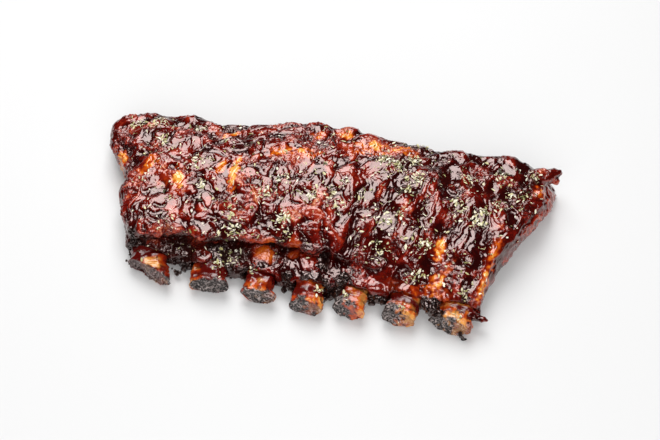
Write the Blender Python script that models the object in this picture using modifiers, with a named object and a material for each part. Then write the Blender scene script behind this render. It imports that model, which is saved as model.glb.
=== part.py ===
"""Half a rack of barbecued back ribs: seven rib bones fanned out through one slab of meat.

The slab is two layers that have cooked into one: a thin one that wraps the bones and stops short of their
sawn tips, and a thick one on top whose front edge has lifted off the bones on the left-hand side.
+X runs along the row of ribs, +Y along the ribs and away from their tips, +Z up. Sizes are in metres, and the
rack rests on the tips of its bones and on the back edge of the meat.
"""

import math

import bmesh
import bpy
from mathutils import Vector, noise

MM = 0.001

# Plan of the rack: a fan, wider at the back than along the tips. A place across it runs from -1 at the left
# edge to 1 at the right, and a place back from 0 at the tips to 1 at the back edge. Lines are in millimetres.
FRONT_HALF_WIDTH = 92 * MM
BACK_HALF_WIDTH = 120 * MM
RIB_LENGTH = 106 * MM
TIP_LINE = (
    (-0.84, -50.7), (-0.5, -54.3), (-0.22, -56.1), (0.045, -59), (0.28, -58), (0.55, -58.5), (0.83, -58),
)
BACK_LINE = (
    (-1.0, 42), (-0.8, 47.5), (-0.62, 46.5), (-0.46, 42), (-0.33, 43), (-0.1, 50.5), (0.1, 48.5), (0.25, 46.5),
    (0.38, 46.5), (0.51, 42), (0.65, 46.5), (0.8, 47), (1.0, 47.5),
)
EDGE_BAND = 0.3
LEFT_EDGE_OUT = ((0.0, -4), (0.15, -4), (0.38, -0.5), (0.58, -4.5), (0.83, 3), (1.0, 1))
RIGHT_EDGE_OUT = ((0.0, -4.5), (0.2, -6), (0.35, -4.5), (0.52, -0.5), (0.66, 3.5), (0.8, 6), (0.9, 3.5), (1.0, 4))

# Each rib from left to right: its place across the fan, the width of its tip as a share of the usual one, and
# how far its sawn end slants back towards the left, as a slope.
RIBS = (
    (-0.84, 1.35, 0.75), (-0.5, 1.22, 0.1), (-0.22, 1.07, 0.1), (0.045, 1.08, 0.05),
    (0.28, 1.04, 0.05), (0.55, 1.1, 0.0), (0.83, 1.3, 0.0),
)
RIB_PLACES = [rib[0] for rib in RIBS]

# Bones: a flattened rod, flared at both ends and bowed upwards over its length.
BONE_SIDES = 12
BONE_STATIONS = 9
TIP_HALF_WIDTH = 8.4 * MM
SHAFT_HALF_WIDTH = 6.2 * MM
HEEL_HALF_WIDTH = 7.4 * MM
TIP_HALF_DEPTH = 6.2 * MM
SHAFT_HALF_DEPTH = 4.6 * MM
HEEL_HALF_DEPTH = 5.4 * MM
TIP_FLARE = 0.3
HEEL_FLARE = 0.25
BONE_REST_Z = 6.2 * MM
BONE_BOW = 6.5 * MM
BONE_HEEL = 0.992
CHANNEL_GAP = 0.35 * MM
CHANNEL_OVERRUN = 0.12

# Lower layer, wrapped round the bones.
COAT_TOP = 2.2 * MM
COAT_UNDER = 1.9 * MM
WEB_DIP = 3.6 * MM
OUTER_DIP = 0.6
UNDER_DIP = 0.8 * MM
BACK_FOOT = 2.2 * MM
BACK_FOOT_BAND = 0.2
WEB_SETBACK = 10.5 * MM
CUFF_REACH = 1.5 * MM

# Upper layer: its front edge lies this far behind the tips, at these places across the fan.
FLAP_SETBACK = ((-1.0, 10), (-0.65, 18), (-0.32, 22.5), (0.02, 25), (0.2, 25), (0.42, 15), (1.0, 12.5))
FLAP_FREE_UNTIL = 0.3
FLAP_BLEND = 0.2
FLAP_UNDER_Z = 16.5 * MM
FLAP_LIFT = 2.2 * MM
CREVICE_DEPTH = 15 * MM
CREVICE_CEILING = 6 * MM
LAYER_OVERLAP = 7 * MM
CREST_Z = 33 * MM
SIDE_Z = 21.5 * MM
FRONT_Z = 24 * MM
BACK_DROP = 0.16
BACK_DROP_BAND = 0.4
CROWN_POWER = 2.4
SLOPE_START = -8 * MM
SLOPE_END = 40 * MM
TABLE_BLOCK_SIZE = Vector((400, 300, 20)) * MM
LUMP = 1.5 * MM
LUMP_PITCH = 17 * MM


def smooth(low, high, value):
    """0 below low, 1 above high, and an S-shaped rise between them."""
    t = min(1.0, max(0.0, (value - low) / (high - low)))
    return t * t * (3 - 2 * t)


def along(points, place):
    """The value at a place on a line through (place, value) points, level beyond its ends."""
    for (p0, v0), (p1, v1) in zip(points, points[1:]):
        if place <= p1:
            return v0 + (v1 - v0) * smooth(p0, p1, place)
    return points[-1][1]


def fan(across, back):
    """The point of the fan at a place across it and a place back, on a straight line from tip to heel."""
    front = Vector((across * FRONT_HALF_WIDTH, along(TIP_LINE, across) * MM))
    heel = Vector((across * BACK_HALF_WIDTH, along(BACK_LINE, across) * MM))
    return front.lerp(heel, back)


def plan(across, back):
    """The same point on the meat, whose two side edges aren't straight."""
    point = fan(across, back)
    point.x -= along(LEFT_EDGE_OUT, back) * MM * smooth(1 - EDGE_BAND, 1.0, -across)
    point.x += along(RIGHT_EDGE_OUT, back) * MM * smooth(1 - EDGE_BAND, 1.0, across)
    return point


def between_ribs(across):
    """0 on a rib and 1 midway between two of them, rising to OUTER_DIP at the two side edges."""
    if not RIB_PLACES[0] < across < RIB_PLACES[-1]:
        return OUTER_DIP * smooth(abs(RIB_PLACES[0]), 1.0, abs(across))
    for left, right in zip(RIB_PLACES, RIB_PLACES[1:]):
        if across <= right:
            return math.sin(math.pi * (across - left) / (right - left)) ** 2
    return 0.0


def bone_z(back):
    """Height of the bones' centre line."""
    return BONE_REST_Z + BONE_BOW * math.sin(math.pi * min(1.0, max(0.0, back)))


def bone_halves(back, tip_width=1.0):
    """Half the width and half the depth of a bone."""
    tip = 1 - smooth(0.0, TIP_FLARE, back)
    heel = smooth(1 - HEEL_FLARE, 1.0, back)
    width = SHAFT_HALF_WIDTH + (TIP_HALF_WIDTH * tip_width - SHAFT_HALF_WIDTH) * tip
    width += (HEEL_HALF_WIDTH - SHAFT_HALF_WIDTH) * heel
    depth = SHAFT_HALF_DEPTH + (TIP_HALF_DEPTH - SHAFT_HALF_DEPTH) * tip
    depth += (HEEL_HALF_DEPTH - SHAFT_HALF_DEPTH) * heel
    return width, depth


def lumps(x, y):
    """Gentle swells of the upper surface."""
    return LUMP * noise.noise(Vector((x / LUMP_PITCH, y / LUMP_PITCH, 3.0)))


def under_z(across, back):
    """Underside of the rack: a low arch with a swelling under each bone and a foot along the back edge."""
    swelling = bone_z(back) - bone_halves(back)[1] - COAT_UNDER
    return swelling + UNDER_DIP * between_ribs(across) - BACK_FOOT * smooth(1 - BACK_FOOT_BAND, 1.0, back)


def wrap_top_z(across, back):
    """Top of the lower layer."""
    over_bone = bone_z(back) + bone_halves(back)[1] + COAT_TOP
    return over_bone - WEB_DIP * between_ribs(across)


def lower_layer(across, back, up):
    """Maps -1..1 in each direction to the layer that wraps the bones."""
    setback = WEB_SETBACK - CUFF_REACH * (1 - between_ribs(across))
    start = setback / RIB_LENGTH
    back = start + (1 - start) * (back + 1) / 2
    ground = plan(across, back)
    low, high = under_z(across, back), wrap_top_z(across, back)
    return Vector((ground.x, ground.y, low + (high - low) * (up + 1) / 2))


def top_z(across, back, start):
    """Top of the upper layer: a crown that falls to the sides, and on the right also to the front."""
    crest = SIDE_Z + (CREST_Z - SIDE_Z) * (1 - abs(across) ** CROWN_POWER)
    shoulder = 1 - BACK_DROP * smooth(1 - BACK_DROP_BAND, 1.0, back)
    depth_in = (back - start) * RIB_LENGTH
    slope = smooth(SLOPE_START, SLOPE_END, depth_in)
    freedom = 1 - smooth(FLAP_FREE_UNTIL - FLAP_BLEND, FLAP_FREE_UNTIL + FLAP_BLEND / 2, across)
    foot = wrap_top_z(across, back) + (FRONT_Z - wrap_top_z(across, back)) * freedom
    return foot + (crest * shoulder - foot) * slope


def upper_layer(across, back, up):
    """Maps -1..1 in each direction to the thick layer on top."""
    start = along(FLAP_SETBACK, across) * MM / RIB_LENGTH
    back = start + (1 - start) * (back + 1) / 2
    ground = plan(across, back)
    depth_in = (back - start) * RIB_LENGTH
    freedom = 1 - smooth(FLAP_FREE_UNTIL - FLAP_BLEND / 2, FLAP_FREE_UNTIL, across)
    sunk = wrap_top_z(across, back) - LAYER_OVERLAP
    free = FLAP_UNDER_Z + FLAP_LIFT * math.sin(math.pi * smooth(-1.0, FLAP_FREE_UNTIL, across))
    grip = 1 - freedom * (1 - smooth(CREVICE_CEILING, CREVICE_DEPTH, depth_in))
    low = free + (sunk - free) * grip
    high = top_z(across, back, start) + lumps(ground.x, ground.y)
    return Vector((ground.x, ground.y, low + (high - low) * (up + 1) / 2))


def material(name, colour, roughness):
    made = bpy.data.materials.new(name)
    made.use_nodes = True
    shader = made.node_tree.nodes["Principled BSDF"]
    shader.inputs["Base Color"].default_value = (*colour, 1)
    shader.inputs["Roughness"].default_value = roughness
    shader.inputs["Metallic"].default_value = 0
    made.diffuse_color = (*colour, 1)
    return made


def collection(name, hidden=False):
    made = bpy.data.collections.new(name)
    bpy.context.scene.collection.children.link(made)
    made.hide_render = hidden
    return made


def new_object(name, mesh_maker, group):
    """An object from a bmesh that is centred on the world's origin."""
    mesh = bpy.data.meshes.new(name)
    mesh_maker.normal_update()
    mesh_maker.to_mesh(mesh)
    mesh_maker.free()
    made = bpy.data.objects.new(name, mesh)
    group.objects.link(made)
    return made


def cut_edges(maker, axis, cells):
    """Divides the edges that run along one axis into that many cells."""
    edges = [
        e for e in maker.edges if abs((e.verts[0].co - e.verts[1].co).normalized()[axis]) > 0.9
    ]
    bmesh.ops.subdivide_edges(maker, edges=edges, cuts=cells - 1, use_grid_fill=True)


def layer(name, cells, shape, group):
    """A cube cut into cells, bent to shape and smoothed once."""
    maker = bmesh.new()
    bmesh.ops.create_cube(maker, size=2)
    for axis, count in enumerate(cells):
        cut_edges(maker, axis, count)
    for vertex in maker.verts:
        vertex.co = shape(*vertex.co)
    made = new_object(name, maker, group)
    smoothing = made.modifiers.new("smooth", "SUBSURF")
    smoothing.levels = smoothing.render_levels = 1
    return made


def bone(name, number, spare, overrun, group):
    """One rib as a rod with a slanting tip. spare widens it, and overrun lengthens it at both ends."""
    across, tip_width, slant = RIBS[number]
    maker = bmesh.new()
    bmesh.ops.create_cone(maker, cap_ends=True, segments=BONE_SIDES, radius1=1, radius2=1, depth=2)
    cut_edges(maker, 2, BONE_STATIONS)
    first, last = -overrun, BONE_HEEL + overrun
    for vertex in maker.verts:
        back = first + (last - first) * (vertex.co.z + 1) / 2
        width, depth = bone_halves(back, tip_width)
        centre = fan(across, back)
        heading = (fan(across, 1) - fan(across, 0)).normalized()
        side = Vector((-heading.y, heading.x)) + heading * slant * max(0.0, 1 - back) ** 4
        ground = centre + side * vertex.co.x * (width + spare)
        height = bone_z(back) + vertex.co.y * (depth + spare)
        vertex.co = (ground.x, ground.y, height if spare else max(0.0, height))
    made = new_object(name, maker, group)
    made.data.shade_smooth()
    made.data.set_sharp_from_angle(angle=math.radians(50))
    return made


def boolean(target, other, operation):
    step = target.modifiers.new(f"{operation.lower()} {other.name}", "BOOLEAN")
    step.operation = operation
    step.object = other


def table_block(group):
    """A block under the table's level, which cuts the underside flat where the meat rests."""
    maker = bmesh.new()
    bmesh.ops.create_cube(maker, size=1)
    for vertex in maker.verts:
        corner = vertex.co - Vector((0, 0, 0.5))
        vertex.co = corner * TABLE_BLOCK_SIZE
    return new_object("table_block", maker, group)


def centre_on_origin(parts):
    """Moves the parts together, so that the middle of their box stands on the origin."""
    bpy.context.view_layer.update()
    graph = bpy.context.evaluated_depsgraph_get()
    corners = [Vector(c) for part in parts for c in part.evaluated_get(graph).bound_box]
    middle = [(min(c[i] for c in corners) + max(c[i] for c in corners)) / 2 for i in range(2)]
    base = bpy.data.objects.new("rack_of_ribs", None)
    parts[0].users_collection[0].objects.link(base)
    base.location = (-middle[0], -middle[1], 0)
    return base


def main():
    for old in list(bpy.data.objects):
        bpy.data.objects.remove(old)
    rack = collection("Rack of ribs")
    helpers = collection("Cutters", hidden=True)

    meat = layer("meat", (26, 10, 2), lower_layer, rack)
    meat.data.materials.append(material("glazed_meat", (0.16, 0.03, 0.012), 0.25))
    upper = layer("upper_meat", (20, 9, 2), upper_layer, helpers)
    table = table_block(helpers)
    boolean(meat, upper, "UNION")
    boolean(meat, table, "DIFFERENCE")

    charred_bone = material("charred_bone", (0.2, 0.09, 0.04), 0.5)
    parts = [meat]
    for number in range(len(RIBS)):
        channel = bone(f"channel_{number + 1}", number, CHANNEL_GAP, CHANNEL_OVERRUN, helpers)
        boolean(meat, channel, "DIFFERENCE")
        rib = bone(f"rib_{number + 1}", number, 0.0, 0.0, rack)
        rib.data.materials.append(charred_bone)
        parts.append(rib)
    for cutter in helpers.objects:
        cutter.hide_render = True
        cutter.display_type = "WIRE"

    base = centre_on_origin(parts)
    for thing in parts + list(helpers.objects):
        thing.parent = base


main()
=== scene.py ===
import math
import random

import bmesh
import bpy
import numpy as np
from mathutils import Matrix, Vector
from mathutils.bvhtree import BVHTree


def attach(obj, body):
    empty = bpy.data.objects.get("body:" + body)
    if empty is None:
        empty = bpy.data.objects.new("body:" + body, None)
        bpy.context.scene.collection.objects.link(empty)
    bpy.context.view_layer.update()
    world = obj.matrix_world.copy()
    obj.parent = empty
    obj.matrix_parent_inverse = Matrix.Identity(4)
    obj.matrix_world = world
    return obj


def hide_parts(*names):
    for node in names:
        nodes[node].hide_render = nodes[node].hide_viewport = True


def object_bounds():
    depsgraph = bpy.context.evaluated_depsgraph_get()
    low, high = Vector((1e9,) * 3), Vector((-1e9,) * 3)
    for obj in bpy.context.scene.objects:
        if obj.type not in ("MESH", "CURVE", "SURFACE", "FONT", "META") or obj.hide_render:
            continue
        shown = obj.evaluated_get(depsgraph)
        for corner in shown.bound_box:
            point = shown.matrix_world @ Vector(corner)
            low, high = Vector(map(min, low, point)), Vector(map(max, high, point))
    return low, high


# Half a rack of barbecued back ribs: sticky glazed meat, seven charred bone tips, crumbs and dried herbs.
mm = 0.001

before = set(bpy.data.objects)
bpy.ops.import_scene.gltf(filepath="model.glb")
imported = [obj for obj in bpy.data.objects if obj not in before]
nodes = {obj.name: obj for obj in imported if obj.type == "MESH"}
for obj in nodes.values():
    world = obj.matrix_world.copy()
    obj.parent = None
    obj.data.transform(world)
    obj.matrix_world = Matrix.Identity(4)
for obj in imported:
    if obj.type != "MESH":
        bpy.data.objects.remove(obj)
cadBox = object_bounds()
ribNames = sorted(name for name in nodes if name.startswith("rib_"))
print("frame loaded:", len(nodes), "nodes")


def rise(low, high, value):  # 0 below low, 1 above high, smooth between
    t = np.clip((value - low) / (high - low), 0, 1)
    return t * t * (3 - 2 * t)


def blendValues(a, b, t):
    return a + (b - a) * t


noiseLooks = {
    "gain": 1.4,  # brings the noise to about -1 to 1
    "seedShift": 17.31,  # cells from the pattern of one seed to the next
    "scatter": (73856093, 19349663, 83492791), "seedScatter": 2654435761, "mixer": 1274126177,  # odd numbers
}
leans = np.array([(x, y, z) for x in (-1, 0, 1) for y in (-1, 0, 1) for z in (-1, 0, 1)
                  if abs(x) + abs(y) + abs(z) == 2], float)


def softNoise(points, pitch, seed):  # even noise from about -1 to 1, with a swell or a dip about every pitch
    cells = points / pitch + seed * noiseLooks["seedShift"]
    corner = np.floor(cells).astype(np.int64)
    part = cells - corner
    fade = part ** 3 * (part * (part * 6 - 15) + 10)
    total = np.zeros(len(points))
    for step in np.ndindex(2, 2, 2):
        x, y, z = (corner + step).T * np.array(noiseLooks["scatter"])[:, None]
        mixed = x ^ y ^ z ^ (seed * noiseLooks["seedScatter"])
        mixed = (mixed ^ (mixed >> 13)) * noiseLooks["mixer"] & 0x7fffffff
        slope = leans[(mixed ^ (mixed >> 16)) % len(leans)]
        near = np.prod(np.where(step, fade, 1 - fade), axis=1)
        total += np.einsum("ij,ij->i", slope, part - step) * near
    return total * noiseLooks["gain"]


def swirls(points, pitch, seed):  # three noises at once, to bend other patterns
    return np.stack([softNoise(points, pitch, seed + axis) for axis in range(3)], axis=1)


def ridges(noise, steepness=3):  # 1 along thin lines, falling away on both sides
    return 1 - steepness * abs(noise)


def tone(hexColour):  # sRGB hex to linear colour
    parts = [int(hexColour[i:i + 2], 16) / 255 for i in (1, 3, 5)]
    linear = [c / 12.92 if c <= 0.04045 else ((c + 0.055) / 1.055) ** 2.4 for c in parts]
    return (*linear, 1.0)


def addObject(name, data):
    made = bpy.data.objects.new(name, data)
    bpy.context.scene.collection.objects.link(made)
    return made


def finishBuilder(builder, name):
    mesh = bpy.data.meshes.new(name)
    builder.to_mesh(mesh)
    builder.free()
    return addObject(name, mesh)


halfWay = 0.5  # how far each round of smoothing moves a point towards its neighbours


def evenSkin(piece, voxel, smoothing):  # one closed skin of even little faces, rounded a little
    remesh = piece.modifiers.new("skin", "REMESH")
    remesh.mode = "VOXEL"
    remesh.voxel_size = voxel
    relax = piece.modifiers.new("relax", "SMOOTH")
    relax.factor = halfWay
    relax.iterations = smoothing
    graph = bpy.context.evaluated_depsgraph_get()
    mesh = bpy.data.meshes.new_from_object(piece.evaluated_get(graph))
    piece.modifiers.clear()
    piece.data = mesh
    return mesh


def readSkin(mesh):  # places and normals of all points
    count = len(mesh.vertices)
    places, normals = np.empty(count * 3, np.float32), np.empty(count * 3, np.float32)
    mesh.vertices.foreach_get("co", places)
    mesh.vertex_normals.foreach_get("vector", normals)
    return places.reshape(-1, 3).astype(float), normals.reshape(-1, 3).astype(float)


def placeSkin(mesh, places, **values):  # moves the points inside the solids' box and stores values on them
    places = np.clip(places, *np.array(cadBox))
    mesh.vertices.foreach_set("co", places.ravel())
    for name, level in values.items():
        attribute = mesh.attributes.new(name, "FLOAT", "POINT")
        attribute.data.foreach_set("value", np.clip(level, 0, 1).astype(np.float32))
    mesh.update()


def dress(piece, material, node):  # finish, and what the piece stands for on the frame
    piece.data.shade_smooth()
    piece.data.materials.clear()
    piece.data.materials.append(material)
    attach(piece, "root")
    if node:
        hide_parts(node)


# Places on the rack are shares of it: across runs from -1 at the left side to 1 at the right,
# back from 0 at the rib tips to 1 at their heels, and the ribs fan out from a point in front.
def boneLine(name):  # tip and heel of a bone's middle line
    points = np.array([v.co for v in nodes[name].data.vertices])
    middle = (points.min(0) + points.max(0)) / 2
    heading = np.linalg.svd(points - points.mean(0), full_matrices=False)[2][0]
    heading = heading if heading[1] > 0 else -heading
    heading[2] = 0
    heading /= np.linalg.norm(heading)
    reach = (points - middle) @ heading
    return Vector(middle + heading * reach.min()), Vector(middle + heading * reach.max())


boneLines = [boneLine(name) for name in ribNames]


def fanCentre():  # where the lines of the outer ribs meet, far in front of the tips
    (tipA, heelA), (tipB, heelB) = boneLines[0], boneLines[-1]
    a, b = (heelA - tipA).xy, (heelB - tipB).xy
    gap = (tipB - tipA).xy
    along = (gap.x * b.y - gap.y * b.x) / (a.x * b.y - a.y * b.x)
    return tipA.xy + a * along


apex = fanCentre()
tipReach = float(np.mean([(tip.xy - apex).length for tip, heel in boneLines]))
ribLength = float(np.mean([(heel.xy - apex).length for tip, heel in boneLines])) - tipReach
outerAngle = math.atan2(cadBox[1].x, cadBox[1].y - apex.y)


def rackShares(points):  # across, back, and the heading of the ribs there
    rays = points[:, :2] - np.array(apex)
    angles = np.arctan2(rays[:, 0], rays[:, 1])
    return angles / outerAngle, (np.hypot(*rays.T) - tipReach) / ribLength, angles


def rackPoint(across, back):  # the place in the plane that belongs to a pair of shares
    angle = across * outerAngle
    return np.array(apex) + np.array((math.sin(angle), math.cos(angle))) * (tipReach + back * ribLength)


spotEdge = (1.4, 0.6)  # a spot fades from nothing to full between these shares of its size


def spots(points, rows, ragged=0.0):  # the summed strength of oval spots at every point
    total = np.zeros(len(points))
    for across, back, halfWidth, halfLength, lean, strength, *hole in rows:
        angle = across * outerAngle + math.radians(lean)
        gaps = points[:, :2] - rackPoint(across, back)
        wide = gaps @ (math.cos(angle), -math.sin(angle)) / (halfWidth * mm)
        long = gaps @ (math.sin(angle), math.cos(angle)) / (halfLength * mm)
        distance = np.hypot(wide, long) + ragged
        level = rise(*spotEdge, distance)
        if hole:
            level -= rise(*spotEdge, distance / hole[0])
        total += strength * level
    return total


def setInputs(tree, node, inputs):  # links what is a socket and sets what is a value
    for name, value in inputs.items():
        if isinstance(value, bpy.types.NodeSocket):
            tree.links.new(value, node.inputs[name])
        else:
            node.inputs[name].default_value = value


def addNode(tree, kind, settings=None, inputs=None):
    node = tree.nodes.new("ShaderNode" + kind)
    for name, value in (settings or {}).items():
        setattr(node, name, value)
    setInputs(tree, node, inputs or {})
    return node


def newMaterial(name):
    made = bpy.data.materials.new(name)
    made.use_nodes = True
    tree = made.node_tree
    tree.nodes.clear()
    shader = addNode(tree, "BsdfPrincipled")
    addNode(tree, "OutputMaterial", inputs={"Surface": shader.outputs[0]})
    return made, tree, shader


def setStops(ramp, stops):  # a ramp's hex colours, each at its place
    for spot, colour in stops[1:-1]:
        ramp.elements.new(spot)
    for element, (spot, colour) in zip(ramp.elements, stops):
        element.position = spot
        element.color = tone(colour)


mixColours = {"data_type": "RGBA"}
mixA, mixB, mixOut = 6, 7, 2  # the colour sockets of a Mix node

# Barbecue glaze on roasted pork: sugar syrup and tomato, brushed on in coats and baked sticky.
# The eye sees clean flat reflections over a deep maroon that turns amber where fat shows through.
glazeLooks = {
    "coats": ((0.0, "#cc7a50"), (0.25, "#a43118"), (0.5, "#700f05"), (0.75, "#460401"), (1.0, "#260101")),
    "fats": ((0.2, "#7a1607"), (0.5, "#bc3a0a"), (0.8, "#df7018"), (1.0, "#f4b452")),
    # sooty black for char, also used as painted shade under the flap and in the crevice
    "sootAndShade": ("#070303", "#36211c"), "sootAndShadeEdge": (0.45, 0.7),
    "mottlePitch": 6 * mm, "speckPitch": 1.3 * mm,
    "unevenness": 0.3, "dryUnevenness": 2.0, "fatUnevenness": 0.7,  # the last two multiply the first
    "fatEdge": (0.05, 0.85),
    "wrinklePitch": 1.2 * mm, "wrinkleHeight": 0.7 * mm,
    "charWrinkles": 0.5, "wetWrinkles": 0.16, "dryWrinkles": 0.6,
    "ior": 1.85, "sheenTone": "#ffe2dc",  # a strong, pinkish reflection
    "wetRoughness": 0.11, "dryRoughness": 0.26,
    "coatRoughness": 0.06, "coatIor": 1.6, "wetCoat": 0.25, "dryCoat": 0.2,
}


def barbecueGlaze():
    looks = glazeLooks
    made, tree, shader = newMaterial("barbecueGlaze")
    place = addNode(tree, "TexCoord").outputs["Object"]
    glaze, char, fat, dry = (addNode(tree, "Attribute", {"attribute_name": name}).outputs["Fac"]
                             for name in ("glaze", "char", "fat", "dry"))  # stored on the points by placeSkin
    mottle = addNode(tree, "TexNoise", inputs={
        "Vector": place, "Scale": 1 / looks["mottlePitch"],
        "Detail": 4.0, "Roughness": 0.6, "Distortion": 0.8})
    speck = addNode(tree, "TexNoise", inputs={
        "Vector": place, "Scale": 1 / looks["speckPitch"], "Detail": 3.0, "Roughness": 0.6})
    uneven = addNode(tree, "Math", {"operation": "ADD"}, {0: mottle.outputs[0], 1: speck.outputs[0]})
    uneven = addNode(tree, "MapRange", {"clamp": False}, {
        "Value": uneven.outputs[0], "From Min": 0.6, "From Max": 1.4,
        "To Min": -looks["unevenness"], "To Max": looks["unevenness"]})
    blotchy = addNode(tree, "MapRange", inputs={
        "Value": dry, "To Min": 1.0, "To Max": looks["dryUnevenness"]})
    cover = addNode(tree, "Math", {"operation": "MULTIPLY_ADD"},
                    {0: uneven.outputs[0], 1: blotchy.outputs[0], 2: glaze})
    coats = addNode(tree, "ValToRGB", inputs={0: cover.outputs[0]})
    setStops(coats.color_ramp, looks["coats"])
    fatty = addNode(tree, "Math", {"operation": "MULTIPLY_ADD"},
                    {0: uneven.outputs[0], 1: looks["fatUnevenness"], 2: fat})
    fats = addNode(tree, "ValToRGB", inputs={0: fatty.outputs[0]})
    setStops(fats.color_ramp, looks["fats"])
    fatLevel = addNode(tree, "MapRange", {"interpolation_type": "SMOOTHSTEP"}, {
        "Value": fatty.outputs[0], "From Min": looks["fatEdge"][0], "From Max": looks["fatEdge"][1]})
    sauce = addNode(tree, "Mix", mixColours,
                    {0: fatLevel.outputs[0], mixA: coats.outputs[0], mixB: fats.outputs[0]})
    # Where the meat is charred, and where shade is painted under the flap and in the crevice, the colour
    # turns sooty black.
    sootAndShadeLevel = addNode(tree, "MapRange", inputs={
        "Value": speck.outputs[0], "From Min": looks["sootAndShadeEdge"][0], "From Max": looks["sootAndShadeEdge"][1]})
    sootAndShade = addNode(tree, "Mix", mixColours, {
        0: sootAndShadeLevel.outputs[0], mixA: tone(looks["sootAndShade"][0]), mixB: tone(looks["sootAndShade"][1])})
    colour = addNode(tree, "Mix", mixColours,
                     {0: char, mixA: sauce.outputs[mixOut], mixB: sootAndShade.outputs[mixOut]})
    wrinkle = addNode(tree, "TexNoise", inputs={
        "Vector": place, "Scale": 1 / looks["wrinklePitch"],
        "Detail": 2.0, "Roughness": 0.5, "Distortion": 0.4})
    crisp = addNode(tree, "Math", {"operation": "MULTIPLY"}, {0: char, 1: looks["charWrinkles"]})
    crisp = addNode(tree, "Math", {"operation": "MAXIMUM"}, {0: crisp.outputs[0], 1: dry})
    crisp = addNode(tree, "MapRange", inputs={
        "Value": crisp.outputs[0], "To Min": looks["wetWrinkles"], "To Max": looks["dryWrinkles"]})
    bump = addNode(tree, "Bump", inputs={
        "Strength": crisp.outputs[0], "Distance": looks["wrinkleHeight"], "Height": wrinkle.outputs[0]})
    rough = addNode(tree, "MapRange", inputs={
        "Value": dry, "To Min": looks["wetRoughness"], "To Max": looks["dryRoughness"]})
    wet = addNode(tree, "MapRange", inputs={
        "Value": dry, "To Min": looks["wetCoat"], "To Max": looks["dryCoat"]})
    setInputs(tree, shader, {
        "Base Color": colour.outputs[mixOut], "Roughness": rough.outputs[0], "Coat Weight": wet.outputs[0],
        "Normal": bump.outputs[0], "Coat Normal": bump.outputs[0],
        "IOR": looks["ior"], "Specular Tint": tone(looks["sheenTone"]),
        "Coat Roughness": looks["coatRoughness"], "Coat IOR": looks["coatIor"]})
    return made


# Roasted rib bone, sawn across and charred in the oven: a porous grey-black cut with white ash
# in its pores, and a shaft that is amber and wet where sauce and fat have run over it.
boneFinish = {
    "shaft": ((0.0, "#5a1208"), (0.35, "#a02a08"), (0.7, "#cc5616"), (1.0, "#e39a4c")),
    "glaze": "#580b07", "burnt": ("#0c0909", "#4a3d3a"), "burntEdge": (0.45, 0.7),
    "ash": "#b0a19d", "ashEdge": (0.47, 0.6),
    "mottlePitch": 4 * mm, "unevenness": 0.2, "fleckPitch": 1.0 * mm,
    "porePitch": 0.8 * mm, "poreHeight": 0.35 * mm, "shaftPores": 0.3, "charPores": 1.0,
    "ior": 1.5, "gloss": 0.1, "shaftRoughness": 0.25, "charRoughness": 0.6,
    "coatRoughness": 0.08, "coatIor": 1.6, "shaftCoat": 1.0, "charCoat": 0.5,
}


def charredBone():
    looks = boneFinish
    made, tree, shader = newMaterial("charredBone")
    place = addNode(tree, "TexCoord").outputs["Object"]
    glaze, char, ashy, fat = (addNode(tree, "Attribute", {"attribute_name": name}).outputs["Fac"]
                              for name in ("glaze", "char", "ash", "fat"))
    mottle = addNode(tree, "TexNoise", inputs={
        "Vector": place, "Scale": 1 / looks["mottlePitch"],
        "Detail": 4.0, "Roughness": 0.6, "Distortion": 0.6})
    pores = addNode(tree, "TexNoise", inputs={
        "Vector": place, "Scale": 1 / looks["porePitch"], "Detail": 3.0, "Roughness": 0.7})
    flecks = addNode(tree, "TexNoise", inputs={
        "Vector": place, "Scale": 1 / looks["fleckPitch"], "Detail": 2.0, "Roughness": 0.6})
    fatty = addNode(tree, "MapRange", {"clamp": False}, {
        "Value": mottle.outputs[0], "From Min": 0.3, "From Max": 0.7,
        "To Min": -looks["unevenness"], "To Max": looks["unevenness"]})
    fatty = addNode(tree, "Math", {"operation": "ADD"}, {0: fatty.outputs[0], 1: fat})
    shaft = addNode(tree, "ValToRGB", inputs={0: fatty.outputs[0]})
    setStops(shaft.color_ramp, looks["shaft"])
    sauce = addNode(tree, "Mix", mixColours, {0: glaze, mixA: shaft.outputs[0], mixB: tone(looks["glaze"])})
    poreLevel = addNode(tree, "MapRange", inputs={
        "Value": pores.outputs[0], "From Min": looks["burntEdge"][0], "From Max": looks["burntEdge"][1]})
    burnt = addNode(tree, "Mix", mixColours, {
        0: poreLevel.outputs[0], mixA: tone(looks["burnt"][0]), mixB: tone(looks["burnt"][1])})
    flecked = addNode(tree, "MapRange", inputs={
        "Value": flecks.outputs[0], "From Min": looks["ashEdge"][0], "From Max": looks["ashEdge"][1]})
    ash = addNode(tree, "Math", {"operation": "MULTIPLY"}, {0: flecked.outputs[0], 1: ashy})
    burnt = addNode(tree, "Mix", mixColours,
                    {0: ash.outputs[0], mixA: burnt.outputs[mixOut], mixB: tone(looks["ash"])})
    colour = addNode(tree, "Mix", mixColours,
                     {0: char, mixA: sauce.outputs[mixOut], mixB: burnt.outputs[mixOut]})
    crisp = addNode(tree, "MapRange", inputs={
        "Value": char, "To Min": looks["shaftPores"], "To Max": looks["charPores"]})
    bump = addNode(tree, "Bump", inputs={
        "Strength": crisp.outputs[0], "Distance": looks["poreHeight"], "Height": pores.outputs[0]})
    rough = addNode(tree, "MapRange", inputs={
        "Value": char, "To Min": looks["shaftRoughness"], "To Max": looks["charRoughness"]})
    wet = addNode(tree, "MapRange", inputs={
        "Value": char, "To Min": looks["shaftCoat"], "To Max": looks["charCoat"]})
    setInputs(tree, shader, {
        "Base Color": colour.outputs[mixOut], "Roughness": rough.outputs[0], "Coat Weight": wet.outputs[0],
        "Normal": bump.outputs[0], "Coat Normal": bump.outputs[0],
        "IOR": looks["ior"], "Specular IOR Level": looks["gloss"],
        "Coat Roughness": looks["coatRoughness"], "Coat IOR": looks["coatIor"]})
    return made


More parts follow.
